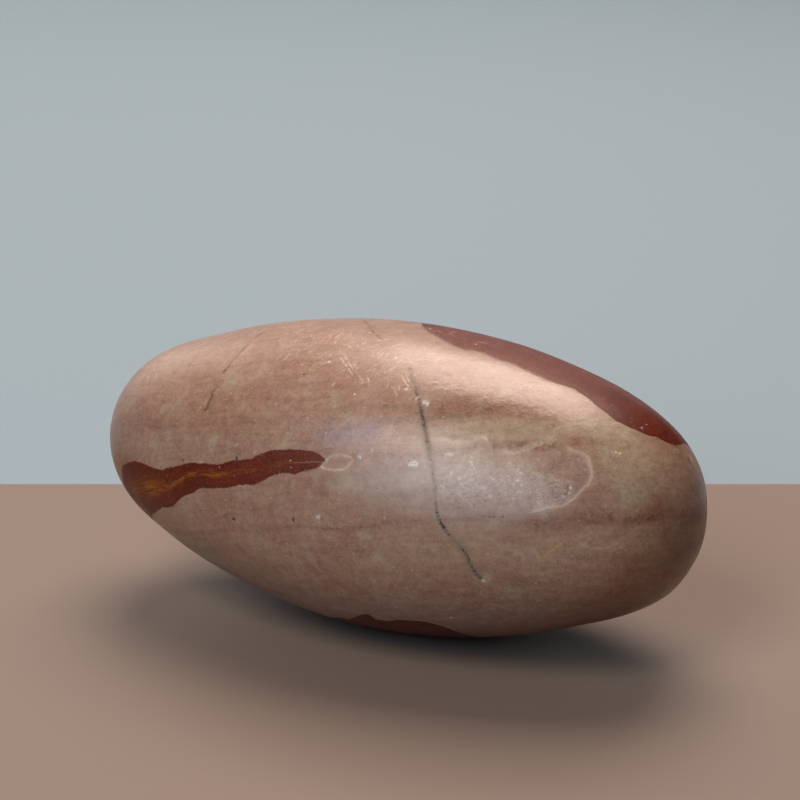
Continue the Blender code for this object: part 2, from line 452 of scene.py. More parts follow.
BELLY_PATCH = (
    (-4.4, -51), (-2.5, -49), (-0.5, -48.5), (1.4, -45), (4, -41), (6.6, -38.8), (7.8, -42.4),
    (9.5, -42.8), (11.7, -41.6), (14.5, -40), (16.8, -40), (19.5, -40), (21.5, -41.4), (24, -45),
    (25.8, -51), (27.6, -59), (28, -70), (25, -82), (20, -90), (15, -95), (8, -99), (2, -97),
    (-4, -95), (-9, -86), (-12, -78), (-11, -66), (-7.5, -57),
)
BACK_VEIN = (
    (-71.5, 203), (-68, 199), (-63, 194.5), (-58, 190), (-53, 187), (-48, 187.5), (-43, 189),
    (-38, 188.5), (-33, 186.5), (-28, 187.5), (-22, 189), (-16, 190.5), (-9, 191.5), (-15, 188.5),
    (-21, 186), (-26, 182.5), (-31, 179.5), (-36, 179), (-41, 176.5), (-46, 173), (-51, 171.5),
    (-56, 174), (-61, 179), (-66, 187), (-69.5, 195),
)
PATCH_REACH = 30.0
COLOUR_REACH = 6.0

patches = [trace(places, closed=True) for places in (FRONT_VEIN, CAP, BELLY_PATCH, BACK_VEIN)]
jasper_inside = max_of([measure(line, PATCH_REACH)[1] for line in patches])
jasper_inside = np.clip(jasper_inside, -COLOUR_REACH, COLOUR_REACH)

# Ochre runs through the vein: a bundle of fine golden lines in a haze at its wide end, then a
# single line that fades. The distances along it, in mm, are from the wide end.
OCHRE_RUN = (
    (-58.5, -15.5), (-56.8, -14.2), (-54.2, -10), (-50.9, -6.4), (-47.9, -4), (-45.8, -3),
    (-44.1, -2.2), (-43, 0), (-41.7, 2.1), (-40.4, 3.8), (-38.8, 6.1), (-36.9, 7.3), (-34.7, 8.5),
    (-32.6, 9.2), (-30.8, 9.4), (-28.4, 10.2), (-26.4, 11), (-24.4, 12.3), (-22.2, 13.5),
    (-20.2, 14.2), (-18.4, 15), (-16.2, 16), (-14.4, 17.1), (-12.7, 18.5), (-10.7, 19.3),
    (-8.6, 19.8),
)
OCHRE_REACH = 9.0
OCHRE_LINE_HALF_WIDTH = 0.42
BUNDLE_EXTRA_HALF_WIDTH = 1.6
BUNDLE_START, BUNDLE_END = 8, 17
FADE_START, FADE_END = 32, 44
OCHRE_FADE = 0.65
HAZE_HALF_WIDTH = 3.6
HAZE_START, HAZE_END = 10, 24

apart, aside, along = measure(trace(OCHRE_RUN), OCHRE_REACH)
ochre_flow = np.stack((along, aside, np.zeros(len(skin))), axis=1)
bundle = eased((BUNDLE_END - along) / (BUNDLE_END - BUNDLE_START))
ochre_half_width = OCHRE_LINE_HALF_WIDTH + BUNDLE_EXTRA_HALF_WIDTH * bundle
ochre_strength = 1.3 * np.exp(-((apart / ochre_half_width) ** 2))
ochre_strength *= 1 - OCHRE_FADE * eased((along - FADE_START) / (FADE_END - FADE_START))
ochre_haze = np.exp(-((apart / HAZE_HALF_WIDTH) ** 2))
ochre_haze *= eased((HAZE_END - along) / (HAZE_END - HAZE_START))

# ---------------------------------------------------------------------------------------------
# Weathering and painted light: khaki clouds; lilac clouds, a painted bluish sheen on the front;
# pale patches that are a painted sheen on the front; iron stains at the blunt tip, with painted
# shade darkening the lower side, the belly and the vein's wide end; places buffed by hands; dust
# on the cap, with a painted sheen along its lower border; and scratched and chalky places where
# the polish is worn. Each has its radius in mm. A darker khaki borders the cracks.
KHAKI_CLOUDS = (
    (-31.7, 23, 1.6), (-49.8, 17, 1.6), (-45.7, 20, 1.4), (-32.8, 50, 2.6), (-12.3, 26, 1.4),
    (1.8, 38, 2.0), (-3.2, 44, 1.8), (-17.1, -14, 2.4), (10.4, -1, 2.0), (13.7, -9, 2.2),
    (41.6, -21, 2.6), (36.7, -14, 2.0), (48.7, -7, 3.0), (63.5, 52, 6.0), (64.5, 38, 5.5),
    (57, 62, 5.0), (61, 60, 4.5), (27, 43, 4.0), (38, 46, 5.0), (46, 50, 4.0), (31, 44, 3.5),
    (-52, -40, 9.0), (-38, -36, 6.0), (70, -5, 5.0), (-60, 120, 9.0), (-30, 160, 7.0), (30, -170, 9.0),
    (-8, 150, 6.0), (58, -150, 8.0), (8, 178, 5.0), (-40, -140, 8.0), (35, -120, 6.0),
)
# Lilac: on the front a painted bluish sheen, round the back the stone's own tint
LILAC_TINT_AND_SHEEN_PLACES = ((-2, 31.5, 2.6), (3, 33, 3.2), (8, 35, 3.0), (-13, 150, 4.0), (20, -160, 5.0))
BUFFED_PLACES = (
    (12, 70, 6.0), (19, 66.5, 7.5), (27, 66.5, 8.5), (35, 66, 8.5), (43, 66, 7.5), (50, 66, 5.0),
    (-40, 130, 10.0), (20, 165, 9.0), (45, -165, 9.0),
)
# Pale patches on the front: a painted sheen, standing in for the front box's reflection
PAINTED_SHEEN_PLACES = (
    (5, 16, 3.0), (11, 16, 3.8), (17, 16, 4.2), (24, 14, 4.2), (32, 14, 4.4), (40, 15, 4.2),
    (24, 23, 5.6), (33, 22, 6.2), (41, 23, 5.2), (48, 20.5, 3.8),
)
# Iron stains at the blunt tip; painted shade along the lower side, the belly and the vein's wide end
STAIN_AND_SHADE_PLACES = (
    (71.5, 7, 1.3), (72.1, 2, 1.1), (69, 28, 3.2), (71.5, -19, 8.0), (66, -34, 10.0), (57, -52, 10.0),
    (42, -62, 11.0), (24, -66, 11.0), (4, -66, 10.0), (-63, -12, 8.0), (-57, -14, 7.0),
    (60, -110, 10.0), (10, -100, 12.0),
)
# Dust on the cap, which also paints the sheen of the light behind, strongest by its lower border
DUST_AND_SHEEN_PLACES = (
    (12, 96, 6.0), (20, 94, 7.0), (28, 90, 8.0), (37, 88, 7.0), (30, 110, 9.0), (46, 108, 8.0),
    (6, 94, 3.5), (12, 87, 4.0), (18, 84, 4.0), (24, 84, 4.0), (30, 83, 3.5), (36, 81.5, 2.8),
)
SCRATCHED_PLACES = (
    (-16, 76, 7.0), (-7, 68, 7.0), (1, 62, 6.5), (9, 58, 4.0), (15, 52, 2.5), (-27, 86, 7.0),
    (14, 70, 6.0), (10, 99, 5.0), (-20, 145, 8.0), (8, 122, 8.0), (20, 168, 7.0), (-60, 60, 5.0),
)
CHALKY_PLACES = (
    (24, 28, 3.8), (29.5, 27, 4.8), (27.5, 21, 3.8), (34, 26, 4.8), (33, 20, 3.4), (39.5, 26, 4.2),
    (42, 28, 3.0), (44, 26, 4.2), (49, 24, 3.6), (52, 29, 2.6), (19.7, 27, 1.2), (7, 25.5, 1.2),
    (18, 50, 1.2), (-1.2, 2.8, 1.2), (37, -14, 1.4), (12, 172, 4.0), (-24, 142, 2.6), (36, -22, 1.6),
)
MAIN_BORDER_HALF_WIDTH = 1.3
OTHER_BORDER_HALF_WIDTH = 0.8

main_border = thread(crack_lines[:1], MAIN_BORDER_HALF_WIDTH)
other_borders = thread(crack_lines[1:], OTHER_BORDER_HALF_WIDTH)

COLOUR_FIELDS = {
    "jasper": jasper_inside,
    "ochre": ochre_strength,
    "ochre_haze": ochre_haze,
    "dark_clay": dark_clay,
    "brown_clay": brown_clay,
    "crack_border": np.clip(1.2 * main_border + 0.25 * other_borders, 0, 1),
    "khaki": spots(KHAKI_CLOUDS),
    "lilac_tint_and_sheen": spots(LILAC_TINT_AND_SHEEN_PLACES),
    "painted_sheen": spots(PAINTED_SHEEN_PLACES),
    "stain_and_shade": spots(STAIN_AND_SHADE_PLACES),
    "buffed": spots(BUFFED_PLACES),
    "dust_and_sheen": spots(DUST_AND_SHEEN_PLACES),
    "scratched": spots(SCRATCHED_PLACES),
    "chalky": spots(CHALKY_PLACES),
    "scar": scar,
    "pale_edge": np.maximum(0.80 * ledge_lip, 0.90 * leaf_rim),
    "stroke": np.maximum(strokes, 0.32 * thread([vein_tip_line], 0.11)),
    "yellow_stroke": thread([yellow_line], 0.3),
    "crescent": thread(crescent_lines, 0.3),
    "dark_dirt": spots(DARK_KNOCKS),
    "white_dirt": spots(WHITE_KNOCKS),
    "rusty_dirt": spots(RUSTY_KNOCKS),
}

# ---------------------------------------------------------------------------------------------
# The polished stone: one piece of fine-grained jasper rock. Its skin takes on the relief, and
# carries every marking as a field of values that the finish reads.
for vert, point in zip(form.verts, (skin + outward * relief[:, None]) * MM):
    vert.co = point
stone_mesh = bpy.data.meshes.new("polished_stone")
form.to_mesh(stone_mesh)
form.free()
stone_mesh.shade_smooth()
for name, values in COLOUR_FIELDS.items():
    field = stone_mesh.attributes.new(name, "FLOAT", "POINT")
    field.data.foreach_set("value", values.astype(np.float32))
field = stone_mesh.attributes.new("ochre_flow", "FLOAT_VECTOR", "POINT")
field.data.foreach_set("vector", ochre_flow.astype(np.float32).ravel())

stone = bpy.data.objects.new("polished_stone", stone_mesh)
bpy.context.scene.collection.objects.link(stone)
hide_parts("river_pebble")
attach(stone, "root")

# ---------------------------------------------------------------------------------------------
# The finish: dusty tan stone laid down in beds, with jasper, cracks and wear over them. Every
# pattern is sized in mm.
finish = bpy.data.materials.new("river_stone")
finish.use_nodes = True
stone_mesh.materials.append(finish)
tree = finish.node_tree
surface = tree.nodes["Principled BSDF"]


def wire(kind, inputs=(), **settings):
    """Adds a node. Each input, by name or number, is a value or another node's output."""
    made = tree.nodes.new(kind)
    for setting, value in settings.items():
        setattr(made, setting, value)
    for socket, value in dict(inputs).items():
        if isinstance(value, bpy.types.NodeSocket):
            tree.links.new(value, made.inputs[socket])
        else:
            made.inputs[socket].default_value = value
    return made


def calc(operation, *values):
    return wire("ShaderNodeMath", enumerate(values), operation=operation).outputs[0]


def vector(operation, *values):
    made = wire("ShaderNodeVectorMath", operation=operation)
    for number, value in enumerate(values):
        socket = made.inputs["Scale"] if operation == "SCALE" and number == 1 else made.inputs[number]
        if isinstance(value, bpy.types.NodeSocket):
            tree.links.new(value, socket)
        else:
            socket.default_value = value
    return made.outputs["Value" if operation == "DOT_PRODUCT" else "Vector"]


def rise(value, low, high):
    """0 below low, 1 above high, and smooth between; low may be the greater."""
    ends = {"Value": value, "From Min": low, "From Max": high}
    return wire("ShaderNodeMapRange", ends, interpolation_type="SMOOTHSTEP").outputs[0]


def spread(value, low, high, to_low, to_high):
    ends = {"Value": value, "From Min": low, "From Max": high, "To Min": to_low, "To Max": to_high}
    return wire("ShaderNodeMapRange", ends).outputs[0]


def over(below, colour, amount, mode="MIX"):
    """A colour laid over the one below, as far as amount says. Sockets 6 and 7 take colours."""
    mix = wire("ShaderNodeMix", {0: amount, 6: below, 7: colour}, data_type="RGBA", blend_type=mode)
    return mix.outputs[2]


def clouds(size, detail=2.0, where=None, roughness=0.5):
    """Soft noise around 0.5, of a size in mm."""
    place_in = in_mm if where is None else where
    wiring = {"Vector": place_in, "Scale": 1 / size, "Detail": detail, "Roughness": roughness}
    return wire("ShaderNodeTexNoise", wiring).outputs[0]


def mark(name):
    return wire("ShaderNodeAttribute", attribute_name=name).outputs["Fac"]


texture_place = wire("ShaderNodeTexCoord")
millimetres = {"Vector": texture_place.outputs["Object"], "Scale": (1 / MM,) * 3}
in_mm = wire("ShaderNodeMapping", millimetres).outputs[0]

# Beds. They rise to the front and towards the blunt end, and are gently folded. Each bed has its
# height from the origin, square to the beds, its thickness and how softly it ends, in mm.
BEDDING = Vector((-0.201, 0.310, 0.937)).normalized()
BED_FOLDS = ((26, 5.0), (7, 1.4))
LAMINA_LENGTH = 14.0
LAMINA_THICKNESS = 0.9
LAMINA_SQUEEZE = 1 / LAMINA_THICKNESS - 1 / LAMINA_LENGTH

bed_height = vector("DOT_PRODUCT", in_mm, BEDDING)
for size, swing in BED_FOLDS:
    fold = calc("MULTIPLY", calc("SUBTRACT", clouds(size), 0.5), swing)
    bed_height = calc("ADD", bed_height, fold)
flattened = vector("SCALE", BEDDING, calc("MULTIPLY", bed_height, LAMINA_SQUEEZE))
in_beds = vector("ADD", vector("SCALE", in_mm, 1 / LAMINA_LENGTH), flattened)
laminae = clouds(1.0, detail=3.0, where=in_beds, roughness=0.6)


def bed(height, thickness, softness):
    """1 within a bed, fading out at its faces."""
    off_middle = calc("ABSOLUTE", calc("SUBTRACT", bed_height, height))
    return rise(off_middle, thickness / 2 + softness, thickness / 2 - softness)


HIGH_KHAKI_BED = (40.9, 4.6, 1.2)
LOW_KHAKI_BED = (15.0, 5.0, 3.0)
TAN = (0.312, 0.188, 0.131, 1)
ROSE = (0.295, 0.164, 0.115, 1)
KHAKI = (0.348, 0.264, 0.174, 1)
GREY = (0.335, 0.222, 0.168, 1)
BROWN = (0.200, 0.088, 0.056, 1)
LILAC = (0.268, 0.184, 0.192, 1)
STAIN_AND_SHADE = (0.75, 0.58, 0.48, 1)
SCAR_PINK = (0.330, 0.206, 0.160, 1)
LAMINA_DARK = (0.80, 0.76, 0.74, 1)
LAMINA_PALE = (1.12, 1.14, 1.14, 1)
LAMINA_STRENGTH = 0.62
MOTTLE_DARK = (0.85, 0.82, 0.81, 1)
MOTTLE_PALE = (1.11, 1.11, 1.11, 1)

station = vector("DOT_PRODUCT", in_mm, (1, 0, 0))
toward_blunt = rise(station, -12, 26)
blotches = clouds(3.4, 3, roughness=0.55)
colour = over(TAN, ROSE, rise(clouds(11, 3), 0.42, 0.62))
colour = over(colour, GREY, calc("MULTIPLY", rise(clouds(6, 3), 0.50, 0.68), 0.6))
khaki_beds = calc("MULTIPLY", bed(*HIGH_KHAKI_BED), 0.95)
khaki_beds = calc("MAXIMUM", khaki_beds, calc("MULTIPLY", bed(*LOW_KHAKI_BED), 0.5))
khaki_beds = calc("MULTIPLY", khaki_beds, rise(station, 2, 28))
khaki_amount = calc("MAXIMUM", mark("khaki"), khaki_beds)
khaki_amount = calc("MULTIPLY", khaki_amount, spread(blotches, 0.3, 0.6, 0.45, 0.95))
khaki_amount = calc("MAXIMUM", khaki_amount, calc("MULTIPLY", rise(blotches, 0.58, 0.70), 0.45))
colour = over(colour, KHAKI, khaki_amount)
# Lilac over the khaki: a painted bluish sheen on the front, a tint round the back
colour = over(colour, LILAC, calc("MULTIPLY", mark("lilac_tint_and_sheen"), spread(blotches, 0.3, 0.7, 0.5, 1.0)))
colour = over(colour, SCAR_PINK, calc("MULTIPLY", mark("scar"), 0.5))

# The iron-stained beds: a wide one high on the stone, a broken one across its middle, and under
# it a thin one, wider at the blunt end. Two faint ones run the whole length, and three more show
# only at the blunt end. The first and the third change height a little along the stone.
UPPER_BED_HEIGHTS = (46.6, 45.5)
MIDDLE_BED = (37.4, 1.7, 0.8)
LOWER_BED_HEIGHTS = (21.9, 20.5)
BLUNT_END_BEDS = ((27.8, 2.6, 1.6), (13.0, 2.0, 1.4), (8.2, 1.6, 1.2))
FAINT_BEDS = ((18.6, 0.3, 0.5), (29.4, 0.4, 0.7))

brokenness = rise(clouds(3.4, 4, roughness=0.65), 0.38, 0.60)
upper_height = spread(rise(station, 24, 38), 0, 1, *UPPER_BED_HEIGHTS)
upper_bed = calc("MULTIPLY", rise(station, 8, 20), rise(station, 54, 34))
upper_bed = calc("MULTIPLY", bed(upper_height, 3.8, 1.6), upper_bed)
faint_upper_bed = spread(rise(station, -12, 2), 0, 1, 0.20, 0.42)
upper_bed = calc("MAXIMUM", upper_bed, calc("MULTIPLY", bed(upper_height, 3.0, 2.0), faint_upper_bed))
middle_bed = calc("MULTIPLY", bed(*MIDDLE_BED), spread(toward_blunt, 0, 1, 0.12, 1.0))
middle_bed = calc("MULTIPLY", middle_bed, spread(rise(clouds(3.0, 2), 0.44, 0.54), 0, 1, 0.25, 1.2))
middle_bed = calc("MULTIPLY", middle_bed, spread(rise(station, 52, 58), 0, 1, 1.0, 0.25))
lower_height = spread(rise(station, 40, 66), 0, 1, *LOWER_BED_HEIGHTS)
lower_bed = calc("MULTIPLY", bed(lower_height, 1.0, 0.7), spread(toward_blunt, 0, 1, 0.45, 1.0))
blunt_bed = calc("MULTIPLY", bed(lower_height, 2.6, 1.3), rise(station, 30, 50))
stains = 0
for entry in BLUNT_END_BEDS:
    stains = calc("ADD", stains, bed(*entry))
stains = calc("MULTIPLY", stains, calc("MULTIPLY", rise(station, 26, 50), rise(clouds(5, 2), 0.46, 0.58)))
blunt_bed = calc("MAXIMUM", blunt_bed, calc("MULTIPLY", stains, 0.55))
faint_beds = calc("MULTIPLY", calc("ADD", *[bed(*entry) for entry in FAINT_BEDS]), 0.25)
thin_beds = calc("MAXIMUM", calc("MAXIMUM", middle_bed, lower_bed), faint_beds)
banding = calc("MAXIMUM", calc("MAXIMUM", upper_bed, blunt_bed), thin_beds)
banding = calc("MULTIPLY", banding, spread(brokenness, 0, 1, 0.48, 1.0))
banding = calc("MULTIPLY", banding, spread(clouds(0.55, 3, roughness=0.7), 0.36, 0.60, 0.40, 1.15))
colour = over(colour, BROWN, banding)
mottling = calc("ADD", calc("MULTIPLY", clouds(2.0, 3), 0.55), calc("MULTIPLY", clouds(0.8, 3), 0.45))
colour = over(colour, MOTTLE_DARK, rise(mottling, 0.53, 0.38), "MULTIPLY")
colour = over(colour, MOTTLE_PALE, rise(mottling, 0.50, 0.64), "MULTIPLY")
dark_laminae = calc("MULTIPLY", rise(laminae, 0.50, 0.28), LAMINA_STRENGTH)
pale_laminae = calc("MULTIPLY", rise(laminae, 0.52, 0.74), LAMINA_STRENGTH)
colour = over(colour, LAMINA_DARK, dark_laminae, "MULTIPLY")
colour = over(colour, LAMINA_PALE, pale_laminae, "MULTIPLY")

# Grain: fine sand, dark iron specks that gather in the brown beds, and a few pale ones.
SPECK_CELL = 0.72
SPECK_COLOUR = (0.120, 0.048, 0.032, 1)
PALE_SPECK_CELL = 1.9
PALE_SPECK_COLOUR = (0.480, 0.370, 0.300, 1)
SAND_SIZE = 0.32
SAND_DARK = (0.87, 0.86, 0.85, 1)
SAND_PALE = (1.10, 1.10, 1.10, 1)

sand = clouds(SAND_SIZE)
colour = over(colour, SAND_DARK, rise(sand, 0.55, 0.30), "MULTIPLY")
colour = over(colour, SAND_PALE, rise(sand, 0.50, 0.72), "MULTIPLY")


def specks(cell, smallest, largest, seed):
    """Round specks, one in each cell of a size in mm, of random radius."""
    shifted = vector("ADD", in_mm, (seed, seed, seed))
    cells = wire("ShaderNodeTexVoronoi", {"Vector": shifted, "Scale": 1 / cell})
    chance = wire("ShaderNodeSeparateColor", {0: cells.outputs["Color"]}).outputs[0]
    radius = spread(chance, 0, 1, smallest / cell, largest / cell)
    return rise(calc("SUBTRACT", cells.outputs["Distance"], radius), 0.06, -0.06)


dark_specks = specks(SPECK_CELL, -0.08, 0.24, 3.0)
speckiness = spread(rise(clouds(7, 2), 0.40, 0.62), 0, 1, 0.06, 0.40)
speckiness = calc("ADD", calc("MULTIPLY", banding, 0.7), speckiness)
colour = over(colour, SPECK_COLOUR, calc("MULTIPLY", dark_specks, speckiness))
pale_specks = specks(PALE_SPECK_CELL, 0.0, 0.34, 40.0)
colour = over(colour, PALE_SPECK_COLOUR, calc("MULTIPLY", pale_specks, 0.45))

# The cracks' borders, a painted sheen on the front, and the chalky wear
CRACK_BORDER_COLOUR = (0.235, 0.166, 0.112, 1)
DARK_CLAY = (0.058, 0.042, 0.031, 1)
BROWN_CLAY = (0.150, 0.074, 0.036, 1)
CHALK_AND_SHEEN_COLOUR = (0.520, 0.450, 0.395, 1)
SCUFF_COLOUR = (0.600, 0.530, 0.480, 1)

border_amount = calc("MULTIPLY", mark("crack_border"), rise(clouds(1.6, 3), 0.30, 0.62))
colour = over(colour, CRACK_BORDER_COLOUR, calc("MULTIPLY", border_amount, 0.85))
web = calc("ABSOLUTE", calc("SUBTRACT", clouds(1.3, 4, roughness=0.6), 0.5))
web = calc("MAXIMUM", rise(web, 0.05, 0.0), rise(clouds(0.9, 2), 0.56, 0.66))
chalk_amount = calc("MULTIPLY", web, rise(mark("chalky"), 0.10, 1.0))
# A painted sheen: pale patches on the front, in the chalk's colour
painted_sheen_amount = calc("MULTIPLY", mark("painted_sheen"), spread(clouds(2.4, 3), 0.35, 0.65, 0.20, 0.36))
colour = over(colour, CHALK_AND_SHEEN_COLOUR, painted_sheen_amount)
colour = over(colour, CHALK_AND_SHEEN_COLOUR, calc("MULTIPLY", chalk_amount, 0.42))
scuffs = calc("MULTIPLY", rise(clouds(1.9, 4, roughness=0.7), 0.55, 0.63), rise(mark("chalky"), 0.45, 0.95))
colour = over(colour, SCUFF_COLOUR, calc("MULTIPLY", scuffs, 0.48))

# Jasper. Its border wavers by a few tenths of a millimetre, and is soft and ragged under the dust
# and painted sheen on the cap. Ochre lines run through the vein, which pales a little towards
# its tip.
JASPER = (0.118, 0.0150, 0.0048, 1)
JASPER_DEEP = (0.086, 0.0110, 0.0038, 1)
JASPER_BRIGHT = (0.145, 0.0225, 0.0080, 1)
PALE_JASPER = (0.225, 0.098, 0.072, 1)
JASPER_FLECK = (0.260, 0.110, 0.080, 1)
JASPER_SHADE = (0.66, 0.64, 0.64, 1)
OCHRE = (0.330, 0.108, 0.009, 1)
OCHRE_HAZE = (0.140, 0.031, 0.005, 1)

waver = calc("MULTIPLY", calc("SUBTRACT", clouds(2.2, 1), 0.5), 0.55)
waver = calc("ADD", waver, calc("MULTIPLY", calc("SUBTRACT", clouds(0.7, 2), 0.5), 0.30))
waver = calc("ADD", waver, calc("MULTIPLY", calc("SUBTRACT", clouds(0.3, 1), 0.5), 0.30))
grit = clouds(0.50, 3, roughness=0.7)
dust_and_sheen_border = rise(mark("dust_and_sheen"), 0.30, 1.0)
rag = calc("MULTIPLY", calc("SUBTRACT", grit, 0.5), dust_and_sheen_border)
depth_in = calc("ADD", calc("ADD", mark("jasper"), waver), calc("MULTIPLY", rag, 2.4))
softness = calc("MULTIPLY", dust_and_sheen_border, 0.55)
jasper = rise(depth_in, calc("SUBTRACT", -0.18, softness), calc("ADD", softness, 0.20))
red = over(JASPER, JASPER_DEEP, rise(clouds(5, 3), 0.45, 0.62))
red = over(red, JASPER_BRIGHT, calc("MULTIPLY", rise(clouds(2.5, 3), 0.55, 0.72), 0.7))
red = over(red, JASPER_DEEP, calc("MULTIPLY", rise(depth_in, 1.1, 0.2), 0.55))
flow = wire("ShaderNodeAttribute", attribute_name="ochre_flow").outputs["Vector"]
along_vein = vector("DOT_PRODUCT", flow, (1, 0, 0))
flow = vector("MULTIPLY", flow, (0.16, 1.9, 1.0))
golden_lines = rise(clouds(1.0, 3, where=flow, roughness=0.55), 0.40, 0.62)
haze = calc("MULTIPLY", mark("ochre_haze"), spread(clouds(1.0, 3, where=flow), 0.3, 0.6, 0.35, 0.9))
red = over(red, OCHRE_HAZE, haze)
golden = calc("MULTIPLY", golden_lines, spread(clouds(0.6, 2), 0.3, 0.6, 0.5, 1.0))
red = over(red, OCHRE, calc("MULTIPLY", mark("ochre"), golden))
# Dust on the cap, partly a painted sheen, paler by its lower border
dust_and_sheen_amount = calc("MULTIPLY", mark("dust_and_sheen"), spread(clouds(0.60, 3), 0.35, 0.65, 0.04, 0.40))
red = over(red, PALE_JASPER, dust_and_sheen_amount)
red = over(red, PALE_JASPER, calc("MULTIPLY", rise(along_vein, 20, 50), 0.10))
near_border = calc("MULTIPLY", dust_and_sheen_border, rise(depth_in, 3.2, 0.2))
border_dust_and_sheen = calc("MULTIPLY", near_border, rise(grit, 0.40, 0.64))
red = over(red, PALE_JASPER, calc("MULTIPLY", border_dust_and_sheen, 0.45))
red = over(red, JASPER_SHADE, rise(grit, 0.50, 0.32), "MULTIPLY")
red = over(red, JASPER_FLECK, calc("MULTIPLY", rise(grit, 0.53, 0.72), 0.26))
red = over(red, JASPER_FLECK, calc("MULTIPLY", specks(1.1, 0.0, 0.30, 77.0), 0.45))
colour = over(colour, red, jasper)
# Iron stains at the blunt tip; painted shade darkening the lower side, belly and vein's wide end
stain_and_shade_amount = calc("MULTIPLY", mark("stain_and_shade"), spread(blotches, 0.3, 0.7, 0.75, 1.0))
colour = over(colour, STAIN_AND_SHADE, stain_and_shade_amount, "MULTIPLY")

# Wear marks over everything
PALE_EDGE = (0.490, 0.365, 0.265, 1)
STROKE_COLOUR = (0.700, 0.515, 0.370, 1)
YELLOW = (0.400, 0.270, 0.090, 1)
DARK_DIRT = (0.040, 0.032, 0.023, 1)
WHITE_DIRT = (0.700, 0.640, 0.600, 1)
RUST = (0.680, 0.460, 0.230, 1)


def hairlines(cell, half_length, half_width, lean, seed):
    """Short straight scratches, one in each cell, turned at random about a leaning."""
    shifted = vector("ADD", in_mm, (seed, seed, seed))
    cells = wire("ShaderNodeTexVoronoi", {"Vector": shifted, "Scale": 1 / cell})
    off = vector("SUBTRACT", shifted, cells.outputs["Position"])
    turn = vector("ADD", vector("SUBTRACT", cells.outputs["Color"], (0.5, 0.5, 0.5)), lean)
    out = texture_place.outputs["Normal"]
    aside = vector("NORMALIZE", vector("CROSS_PRODUCT", out, turn))
    ahead = vector("CROSS_PRODUCT", aside, out)
    across = calc("ABSOLUTE", vector("DOT_PRODUCT", off, aside))
    along = calc("ABSOLUTE", vector("DOT_PRODUCT", off, ahead))
    return calc("MULTIPLY", rise(across, half_width, 0), rise(along, half_length, half_length * 0.6))


long_hairs = hairlines(3.2, 1.4, 0.10, (0.1, 0.1, 0.1), 0.0)
short_hairs = hairlines(2.2, 0.8, 0.08, (-0.05, 0.0, 0.0), 9.0)
hairs = calc("MAXIMUM", long_hairs, short_hairs)
hairs = calc("MULTIPLY", hairs, spread(mark("scratched"), 0.1, 0.8, 0.05, 1.0))
hairs = calc("MULTIPLY", hairs, spread(clouds(3.0, 2), 0.42, 0.58, 0.05, 1.0))
colour = over(colour, STROKE_COLOUR, calc("MULTIPLY", hairs, 0.75))
ragged = rise(clouds(0.5, 2), 0.30, 0.55)
edging = calc("MULTIPLY", mark("pale_edge"), spread(ragged, 0, 1, 0.45, 1.0))
colour = over(colour, PALE_EDGE, edging)
colour = over(colour, PALE_EDGE, calc("MULTIPLY", mark("crescent"), calc("MULTIPLY", ragged, 0.35)))
colour = over(colour, YELLOW, calc("MULTIPLY", mark("yellow_stroke"), calc("MULTIPLY", ragged, 0.9)))
crumbs = calc("MULTIPLY", calc("SUBTRACT", clouds(0.85, 3, roughness=0.65), 0.5), 2.6)
for clay, clay_colour in (("dark_clay", DARK_CLAY), ("brown_clay", BROWN_CLAY)):
    crumbled = rise(calc("ADD", mark(clay), crumbs), 0.52, 0.98)
    crumbled = calc("MAXIMUM", crumbled, calc("MULTIPLY", rise(mark(clay), 0.10, 0.80), 0.32))
    colour = over(colour, clay_colour, calc("MULTIPLY", crumbled, 0.92))
colour = over(colour, STROKE_COLOUR, calc("MULTIPLY", mark("stroke"), 0.85))
dark_dirt = rise(calc("MULTIPLY", mark("dark_dirt"), ragged), 0.22, 0.65)
colour = over(colour, DARK_DIRT, calc("MULTIPLY", dark_dirt, 0.92))
colour = over(colour, RUST, rise(mark("rusty_dirt"), 0.3, 0.8))
white_dirt = rise(calc("MULTIPLY", mark("white_dirt"), ragged), 0.20, 0.95)
colour = over(colour, WHITE_DIRT, calc("MULTIPLY", white_dirt, 0.68))
tree.links.new(colour, surface.inputs["Base Color"])

# Polish. The buffed places are shinier, and scratched and chalky ones, cracks and dirt are dull.
# The jasper reflects less than the tan stone.
STONE_IOR = 1.54
TAN_REFLECTION = 0.50
JASPER_REFLECTION = 0.22

polish = spread(clouds(5, 3), 0.3, 0.7, 0.335, 0.405)
buffed_amount = calc("MULTIPLY", mark("buffed"), calc("SUBTRACT", 1.0, jasper))
polish = calc("SUBTRACT", polish, calc("MULTIPLY", buffed_amount, 0.125))
polish = calc("ADD", polish, calc("MULTIPLY", jasper, 0.03))
polish = calc("ADD", polish, calc("MULTIPLY", calc("MULTIPLY", jasper, mark("dust_and_sheen")), 0.08))
polish = calc("ADD", polish, calc("MULTIPLY", mark("scratched"), 0.05))
polish = calc("ADD", polish, calc("MULTIPLY", chalk_amount, 0.15))
dull_filling = calc("MAXIMUM", mark("dark_clay"), mark("dark_dirt"))
polish = calc("ADD", polish, calc("MULTIPLY", dull_filling, 0.4))
tree.links.new(polish, surface.inputs["Roughness"])
surface.inputs["IOR"].default_value = STONE_IOR
reflection = spread(jasper, 0, 1, TAN_REFLECTION, JASPER_REFLECTION)
tree.links.new(reflection, surface.inputs["Specular IOR Level"])

# The fine unevenness that the light catches
FINE_HEIGHT = 0.04 * MM

